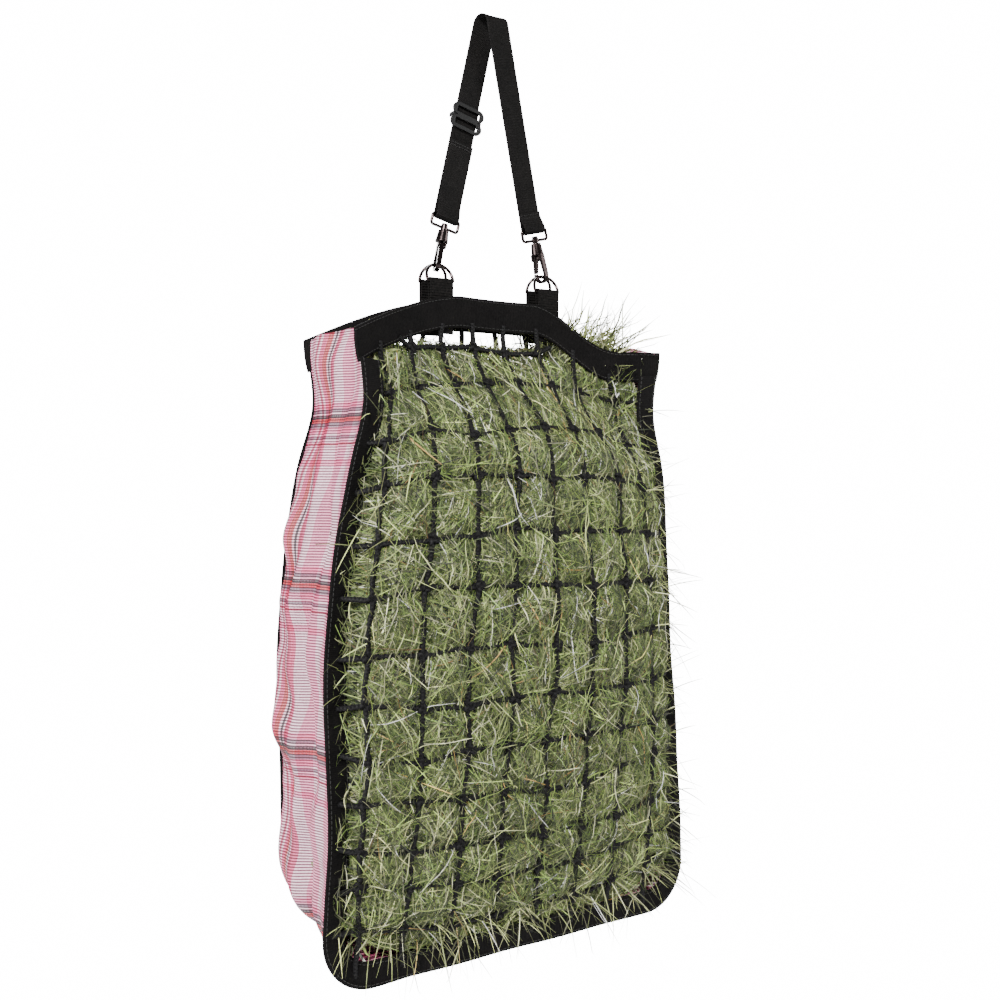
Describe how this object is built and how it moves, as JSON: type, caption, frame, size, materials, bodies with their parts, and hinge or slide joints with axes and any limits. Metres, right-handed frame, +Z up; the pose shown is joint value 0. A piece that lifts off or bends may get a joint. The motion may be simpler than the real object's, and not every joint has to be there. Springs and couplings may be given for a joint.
{
  "type": "hay net",
  "caption": "Corded net bag with a woven mesh side strip, hung filled with hay from one webbing strap by swivel snap hooks.",
  "frame": {"origin": "inner top of the strap's fold, where the net hangs", "axes": "+X to the right across the front net, +Y to the back, +Z up"},
  "size_m": [0.4174, 0.1982, 0.9175],
  "materials": {
    "strap_webbing": "ribbed black webbing",
    "band_webbing": "heavy black webbing",
    "binding_webbing": "black webbing",
    "gusset_mesh": "coated woven mesh, pink and white plaid",
    "net_cord": "black braided cord",
    "hay": "dry green stems",
    "slider_plastic": "moulded black",
    "hook_pins": "black nickel",
    "hardware": "black nickel"
  },
  "bodies": {
    "strap": {"strap_webbing": "strap_webbing"},
    "slider": {"slider_frame": "slider_plastic", "strap_return_webbing": "strap_webbing"},
    "left_loop": {"left_swivel_loop": "hardware"},
    "left_hook": {"left_hook_body": "hardware", "left_swivel_post": "hook_pins", "left_gate_rivet": "hook_pins"},
    "left_gate": {"left_gate_lever": "hardware"},
    "right_loop": {"right_swivel_loop": "hardware"},
    "right_hook": {"right_hook_body": "hardware", "right_swivel_post": "hook_pins", "right_gate_rivet": "hook_pins"},
    "right_gate": {"right_gate_lever": "hardware"},
    "bag": {"back_binding": "binding_webbing", "back_net_crosses": "net_cord", "back_net_uprights": "net_cord", "back_top_band": "band_webbing", "front_binding": "binding_webbing", "front_net_crosses": "net_cord", "front_net_uprights": "net_cord", "front_top_band": "band_webbing", "gusset_strip": "gusset_mesh", "hay_fill": "hay", "left_back_d_ring": "hardware", "left_back_tab": "strap_webbing", "left_front_d_ring": "hardware", "left_front_tab": "strap_webbing", "right_back_d_ring": "hardware", "right_back_tab": "strap_webbing", "right_front_d_ring": "hardware", "right_front_tab": "strap_webbing"}
  },
  "joints": [
    {"name": "slider_slide", "type": "slide", "parent": "strap", "child": "slider", "axis": [0.2369, 0.0204, 0.9713], "range_m": [-0.006, 0.04]},
    {"name": "left_loop_swing", "type": "hinge", "parent": "strap", "child": "left_loop", "pos_m": [-0.05169, 0, -0.20666], "axis": [1, 0, 0], "range_deg": [-12, 12]},
    {"name": "left_hook_swivel", "type": "hinge", "parent": "left_loop", "child": "left_hook", "pos_m": [-0.053, 0, -0.212], "axis": [0.2113, 0, 0.9774], "range_deg": [-5, 5]},
    {"name": "left_gate_press", "type": "hinge", "parent": "left_hook", "child": "left_gate", "pos_m": [-0.05875, -0.00328, -0.23434], "axis": [0.9426, -0.2644, -0.2038], "range_deg": [0, 14], "stiffness_Nm_per_rad": 0.05, "springref_deg": -17.19},
    {"name": "right_loop_swing", "type": "hinge", "parent": "strap", "child": "right_loop", "pos_m": [0.05169, 0, -0.20666], "axis": [1, 0, 0], "range_deg": [-12, 12]},
    {"name": "right_hook_swivel", "type": "hinge", "parent": "right_loop", "child": "right_hook", "pos_m": [0.053, 0, -0.212], "axis": [-0.2113, 0, 0.9774], "range_deg": [-5, 5]},
    {"name": "right_gate_press", "type": "hinge", "parent": "right_hook", "child": "right_gate", "pos_m": [0.05699, 0.00328, -0.23472], "axis": [-0.9426, -0.2644, -0.2038], "range_deg": [0, 14], "stiffness_Nm_per_rad": 0.05, "springref_deg": -17.19},
    {"name": "bag_swing", "type": "hinge", "parent": "left_loop", "child": "bag", "pos_m": [-0.063, 0, -0.2539], "axis": [1, 0, 0], "range_deg": [-15, 15]}
  ],
  "couplings": [
    {"joint": "right_loop_swing", "follows": "left_loop_swing", "ratio": 1}
  ]
}
